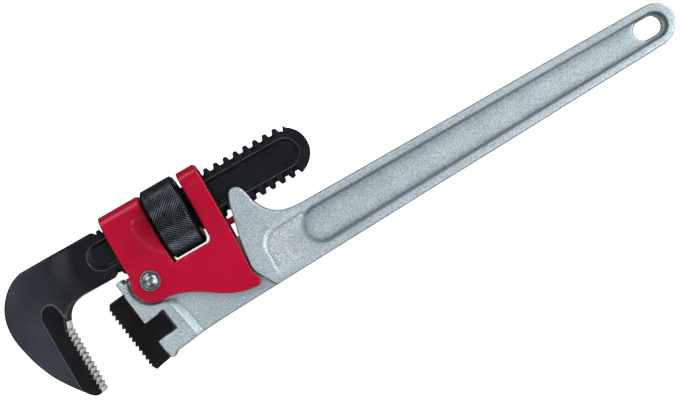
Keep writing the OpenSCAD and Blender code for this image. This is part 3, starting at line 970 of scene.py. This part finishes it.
def adjusting_nut():
    """Knurled outside, with a thread inside that meshes with the rack."""
    x0, x1 = NUT_LOW[0], NUT_HIGH[0]
    verts = []

    def ring(x, radii, n=AROUND):
        """Adds n points round the axis at x, and gives their numbers."""
        angle = 2 * math.pi * np.arange(n) / n
        verts.extend(zip(np.full(n, x), AXIS_Y + radii * np.cos(angle), radii * np.sin(angle)))
        return list(range(len(verts) - n, len(verts)))

    face_r = NUT_R - CHAMFER
    first = [ring(x0, face_r - 0.2), ring(x0 + 0.25, face_r)]
    rows = int(round((x1 - x0 - 2 * CHAMFER) / (2 * math.pi * NUT_R / AROUND)))
    knurled = []
    for k, x in enumerate(np.linspace(x0 + CHAMFER, x1 - CHAMFER, rows + 1)):
        is_low = (np.arange(AROUND) + k) % 2
        knurled.append(ring(x, NUT_R - KNURL * is_low))
    last = [ring(x1 - 0.25, face_r), ring(x1, face_r - 0.2)]
    thread = []
    turns = np.arange(BORE_AROUND) / BORE_AROUND
    height = RACK_TIP_R - RACK_ROOT_R
    for x in np.linspace(x1, x0, BORE_RINGS):
        phase = (x - TOOTH_X) / RACK_PITCH - turns - 0.5
        off = np.abs(phase - np.round(phase)) * RACK_PITCH
        t = np.clip((1.45 - off) / 0.9, 0, 1)
        inwards = min(x - x0, x1 - x)
        fade, mouth = np.clip(inwards / 1.4, 0, 1), 0.5 * np.clip(1 - inwards / 0.6, 0, 1)
        radii = RACK_TIP_R + ROOM + mouth - height * t * t * (3 - 2 * t) * fade
        thread.append(ring(x, radii, BORE_AROUND))

    faces = strip(*first) + strip(first[1], knurled[0])
    for k, (a, b) in enumerate(zip(knurled, knurled[1:])):
        faces += strip(a, b, k)
    faces += strip(knurled[-1], last[0]) + strip(*last)
    for a, b in zip(thread, thread[1:]):
        faces += strip(a, b)
    faces += annulus(last[1], thread[0]) + annulus(thread[-1], first[0])
    v = np.array(verts)
    # painted shade in the knurl's valleys and painted highlights on its peaks, which also show some wear
    peak = 1.0 * (np.hypot(v[:, 1] - AXIS_Y, v[:, 2]) > NUT_R - 0.1)
    piece("knurled_nut", v, faces, [NUT_BLACK], "nut", ["adjusting_nut"],
          {"dark": 2 - 2 * peak, "wear_and_sheen": 1.6 * peak - 0.6}, sharp=24)


# ---- frame ----

# the sheet's bends: their outer and inner radius, half the flat top between them, and their length
TOP_Y = FRAME_HIGH[1]
BEND_OUT = 4.8
BEND_IN = BEND_OUT - SHEET
FLAT_HALF = SHEET_OUT - BEND_OUT
BEND_LENGTH = BEND_IN * math.pi / 2

# the pin's hole in the sheet and the washers, and the shallow crescent's height
PIN_HOLE_R = 2.62
CRESCENT = 0.38


def unfold(y):
    """How far a height on the frame's side is from the middle of its top, along the sheet."""
    return FLAT_HALF + BEND_LENGTH + TOP_Y - BEND_OUT - np.asarray(y, float)


def fold(flat, h):
    """Bends a flat pattern of (x, distance along the sheet) over the shank, h above the sheet's inside."""
    x, s = flat.T
    side, along = np.sign(s), np.abs(s)
    turn = np.clip((along - FLAT_HALF) / BEND_IN, 0, math.pi / 2)
    run = np.maximum(along - FLAT_HALF - BEND_LENGTH, 0)
    y = TOP_Y - BEND_OUT + (BEND_IN + h) * np.cos(turn) - run
    z = np.minimum(along, FLAT_HALF) + (BEND_IN + h) * np.sin(turn)
    return np.column_stack([x, y, side * z])


def both_sides(half):
    """A half pattern that starts and ends on the middle line, and its mirror image."""
    return np.vstack([half, half[1:-1][::-1] * [1, -1]])


def frame_sheet():
    """The folded sheet, drawn flat and bent over the shank, and its tongue."""
    lobe = [[-7.85, 10], [-7.75, 6.5], [-8.9, 2.6], [-9.45, -0.6], [-8.8, -4], [-7, -7], [-4, -9.3],
            [0, -10.4]]
    sweep = [[0, -10.4], [4.5, -10.7], [10, -12.25], [15, -14.5], [20, -17.6], [25, -21], [30, -23.7],
             [35, -25.5], [40, -26.35]]
    heel_end = [[42, -26.45], [43.3, -25.7], [43.7, -24.3], [43.6, -22.4], [42.9, -20.8], [42.4, -19.6],
                [42.4, -17], [43, -8], [43.3, 12], [43.4, 30]]
    side = np.vstack([[[-7.8, 31], [-7.9, 27], [-7.9, 14]], smooth(lobe), smooth(sweep)[1:], heel_end])
    side[:, 1] = unfold(side[:, 1])
    outline = both_sides(np.vstack([[[-7.2, 0], [-7.25, 4]], side, [[42.8, 5], [42.7, 0]]]))
    window = np.array([[13.15, 2.9], [13.35, 2.3], [13.9, 2], [31, 2], [32.2, 2.35], [32.9, 3.1],
                       [33.25, 4.2], [33.4, 20]])
    window[:, 1] = unfold(window[:, 1])
    window = both_sides(np.vstack([[[13.15, 0]], window, [[33.6, 0]]]))
    crescent = smooth([[4.2, 28.2], [3.5, 27], [3.1, 21], [4, 17], [6, 12], [8, 9.5], [10, 7.5]])
    pad_rim = np.vstack([crescent, [[13, 5.6], [18, 8], [18, 27.5], [11.8, 28.8]]])
    pads = []
    for sign in (1, -1):
        rim = np.column_stack([pad_rim[:, 0], sign * unfold(pad_rim[:, 1])])
        rim = anticlockwise(resample(rim, 0.8))
        pads.append((rim, shrink(rim, np.full(len(rim), 3.2))))
    holes = [window] + [arc([0, sign * unfold(0)], PIN_HOLE_R, 0, 355, 48) for sign in (1, -1)]
    lines = []
    for k in range(9):
        s = FLAT_HALF + BEND_LENGTH * k / 8
        for sign in (1, -1):
            lines.append((resample([[-9, sign * s], [44, sign * s]], 1.2, False), False))
    for rim, top_line in pads:
        lines += wall_lines(rim, top_line, 0.8)

    def height(p):
        z = np.full(len(p), SHEET)
        for rim, top_line in pads:
            z = step_down(p, z, rim, top_line, SHEET + CRESCENT, crease=0)
        return z

    plate = Relief(outline, height, holes, lines, 0.75, (0.3, -0.5), step=1.6,
                   under=lambda p: np.zeros(len(p)), outline_step=1.2)
    tongue = tongue_part()
    folded = fold(plate.verts[:, :2], plate.verts[:, 2])
    verts, faces = join((folded, plate.faces), (tongue.verts, tongue.faces))
    wear_and_sheen = np.concatenate([plate.wear_and_sheen, tongue.wear_and_sheen])
    piece("frame_sheet", verts, faces, [RED], "frame", ["frame"], {"wear_and_sheen": wear_and_sheen})


def tongue_part():
    """The tongue over the coil spring: drawn flat, then stood between the frame's sides."""
    wide, narrow, low = FLAT_HALF + BEND_IN + 0.4, 5.9, 4.0
    outline = [[35.5, -wide], [42, -wide], [43.2, -narrow], [54, -narrow], [55.4, -narrow + 1.4],
               [55.4, narrow - 1.4], [54, narrow], [43.2, narrow], [42, wide], [35.5, wide]]
    plate = Relief(outline, lambda p: np.full(len(p), SHEET / 2), (), (), 0.45, (0,), step=1.8)
    x, z, up = plate.verts.T
    plate.verts = np.column_stack([x, low + SHEET / 2 + up, z])
    plate.faces = [f[::-1] for f in plate.faces]
    return plate


def mirrored(verts, faces):
    """The same solid below the middle plane as well."""
    below = verts * [1, 1, -1]
    return join((verts, faces), (below, [f[::-1] for f in faces]))


def rivet():
    """The frame's pin, with a domed head at each end."""
    base, shank, cap = SHEET_OUT + 1, 2.6, 3.4
    rise = PIN_TOP - base
    ball = (cap**2 + rise**2) / (2 * rise)
    profile = [(0, 0), (shank, 0), (shank, base), (cap - 0.15, base), (cap, base + 0.18)]
    for r in cap * np.linspace(0.93, 0, 14):
        profile.append((r, PIN_TOP - ball + math.sqrt(ball**2 - r**2)))
    verts, faces = mirrored(*lathe(profile))
    wear_and_sheen = np.clip((np.abs(verts[:, 2]) - base) / rise, 0, 1) * 0.6
    piece("frame_rivet", verts, faces, [ZINC], "frame", ["frame_pin"], {"wear_and_sheen": wear_and_sheen})


def washers():
    """The dished washers under the rivet's heads."""
    profile = [(PIN_HOLE_R, 0.05), (4.7, 0.05), (4.8, 0.2), (4.8, 0.75), (4.68, 0.95), (4.45, 1), (4.05, 1),
               (3.85, 0.85), (3.75, 0.45), (3.6, 0.35), (3.4, 0.4), (3.3, 0.7), (PIN_HOLE_R, 0.7),
               (PIN_HOLE_R, 0.05)]
    verts, faces = mirrored(*lathe([(r, SHEET_OUT - 0.02 + h) for r, h in profile]))
    wear_and_sheen = np.clip((np.hypot(verts[:, 0], verts[:, 1]) - 4.2) * 2, 0, 0.8)
    piece("rivet_washers", verts, faces, [ZINC], "frame", ["pin_washers"], {"wear_and_sheen": wear_and_sheen})


# ---- coil spring ----


def coil_spring():
    """A wire wound closer at its ends."""
    wire_r, turns, sides, per_turn = 0.7, 6, 14, 40
    r = COIL_HIGH[2] - wire_r
    low, high = COIL_LOW[1] + wire_r, COIL_HIGH[1] - wire_r
    n = turns * per_turn
    t = np.arange(n + 1) / n
    closed = 0.6 / turns
    rise = np.interp(t, [0, closed, 1 - closed, 1], [0, 0.04, 0.96, 1])
    turn = 2 * math.pi * turns * t
    centre = np.column_stack([SPRING_X + r * np.cos(turn), low + (high - low) * rise, -r * np.sin(turn)])
    verts, faces = [], []
    for i, c in enumerate(centre):
        out = np.array([math.cos(turn[i]), 0, -math.sin(turn[i])])
        for q in range(sides):
            a = 2 * math.pi * q / sides
            verts.append(c + wire_r * (out * math.cos(a) + np.array([0, math.sin(a), 0])))
    for i in range(n):
        for q in range(sides):
            a, b = i * sides + q, i * sides + (q + 1) % sides
            faces.append((a, b, b + sides, a + sides))
    faces.append(tuple(range(sides))[::-1])
    faces.append(tuple(n * sides + q for q in range(sides)))
    obj = piece("coil_spring_wire", verts, faces, [SPRING], "handle", ["coil_spring"],
                {"wear_and_sheen": np.full(len(verts), 0.2)}, sharp=60)
    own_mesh(obj)


# ---- the CAD shapes that stay ----


def repaint(node, material):
    """Gives a CAD node that stays its detailed finish."""
    for obj in bpy.context.scene.objects:
        if obj.type == "MESH" and obj.name.split(".")[0] == node and not obj.hide_render:
            obj.data.materials.clear()
            obj.data.materials.append(material)


# ---- floor, light and camera ----


def stage():
    """The plain pale floor, and plain pale walls far behind it that cast no shadow."""
    size, tall, z = 3.0, 3.0, CAD_BOX[0].z
    s = Shader("pale floor")
    s.put(s.main.inputs["Base Color"], (0.9, 0.9, 0.9, 1))
    s.put(s.main.inputs["Roughness"], 0.9)
    s.put(s.main.inputs["Emission Color"], (1, 1, 1, 1))
    s.put(s.main.inputs["Emission Strength"], 0.9)
    square = [(-size, -size), (size, -size), (size, size), (-size, size)]
    low, high = [[(x, y, h) for x, y in square] for h in (z, z + tall)]
    walls = [((i + 1) % 4, i, i + 4, (i + 1) % 4 + 4) for i in range(4)]
    for name, corners, faces in (("floor", low, [(0, 1, 2, 3)]), ("walls", low + high, walls)):
        obj = add_mesh(name, corners, faces)
        obj.data.materials.append(s.material)
        obj.visible_diffuse = False
        obj.visible_glossy = False
        obj.visible_shadow = name == "floor"


# name, direction round the object and height above the horizon in degrees, power in watts
LIGHTS = (
    ("key", -38, 46, 11.0),
    ("far", 118, 44, 6.0),
    ("head", 205, 46, 3.6),
    ("end", 20, 22, 11.0),
)


def area_light(name, turn, tilt, power):
    """A soft square light that points at the object's middle."""
    turn, tilt, away = math.radians(turn), math.radians(tilt), 1.3
    target = (CAD_BOX[0] + CAD_BOX[1]) / 2
    out = Vector((math.cos(turn) * math.cos(tilt), math.sin(turn) * math.cos(tilt), math.sin(tilt)))
    lamp = bpy.data.lights.new(name, "AREA")
    lamp.shape, lamp.size, lamp.energy = "SQUARE", 0.8, power
    obj = add(name, lamp)
    obj.location = target + out * away
    obj.rotation_mode = "QUATERNION"
    obj.rotation_quaternion = (-out).to_track_quat("-Z", "Y")


def camera():
    """Straight above the wrench, turned so that the handle runs up to the right."""
    aim_x, aim_y, height, turn = 93.0, -11.3, 820.0, math.radians(-30)
    lens = bpy.data.cameras.new("camera")
    lens.sensor_width, lens.lens = 36.0, 94.37
    lens.clip_start, lens.clip_end = 0.01, 20
    obj = add("camera", lens)
    spot = Vector(placed([aim_x, aim_y, height]))
    obj.matrix_world = Matrix.Translation(spot) @ Matrix.Rotation(turn, 4, "Z")
    bpy.context.scene.camera = obj


def surroundings(strength):
    """Even white light from all round."""
    world = bpy.data.worlds.new("studio")
    world.use_nodes = True
    sky = world.node_tree.nodes["Background"]
    sky.inputs["Color"].default_value = (1, 1, 1, 1)
    sky.inputs["Strength"].default_value = strength
    bpy.context.scene.world = world


handle()
hook_jaw()
heel_jaw()
adjusting_nut()
frame_sheet()
rivet()
washers()
coil_spring()
for node, material in (("flat_spring", SPRING), ("flat_spring_rivet", ZINC), ("heel_jaw_pin", SPRING)):
    repaint(node, material)

stage()
surroundings(0.15)
for name, turn, tilt, power in LIGHTS:
    area_light(name, turn, tilt, power)
camera()
bpy.context.scene.view_settings.view_transform = "Standard"
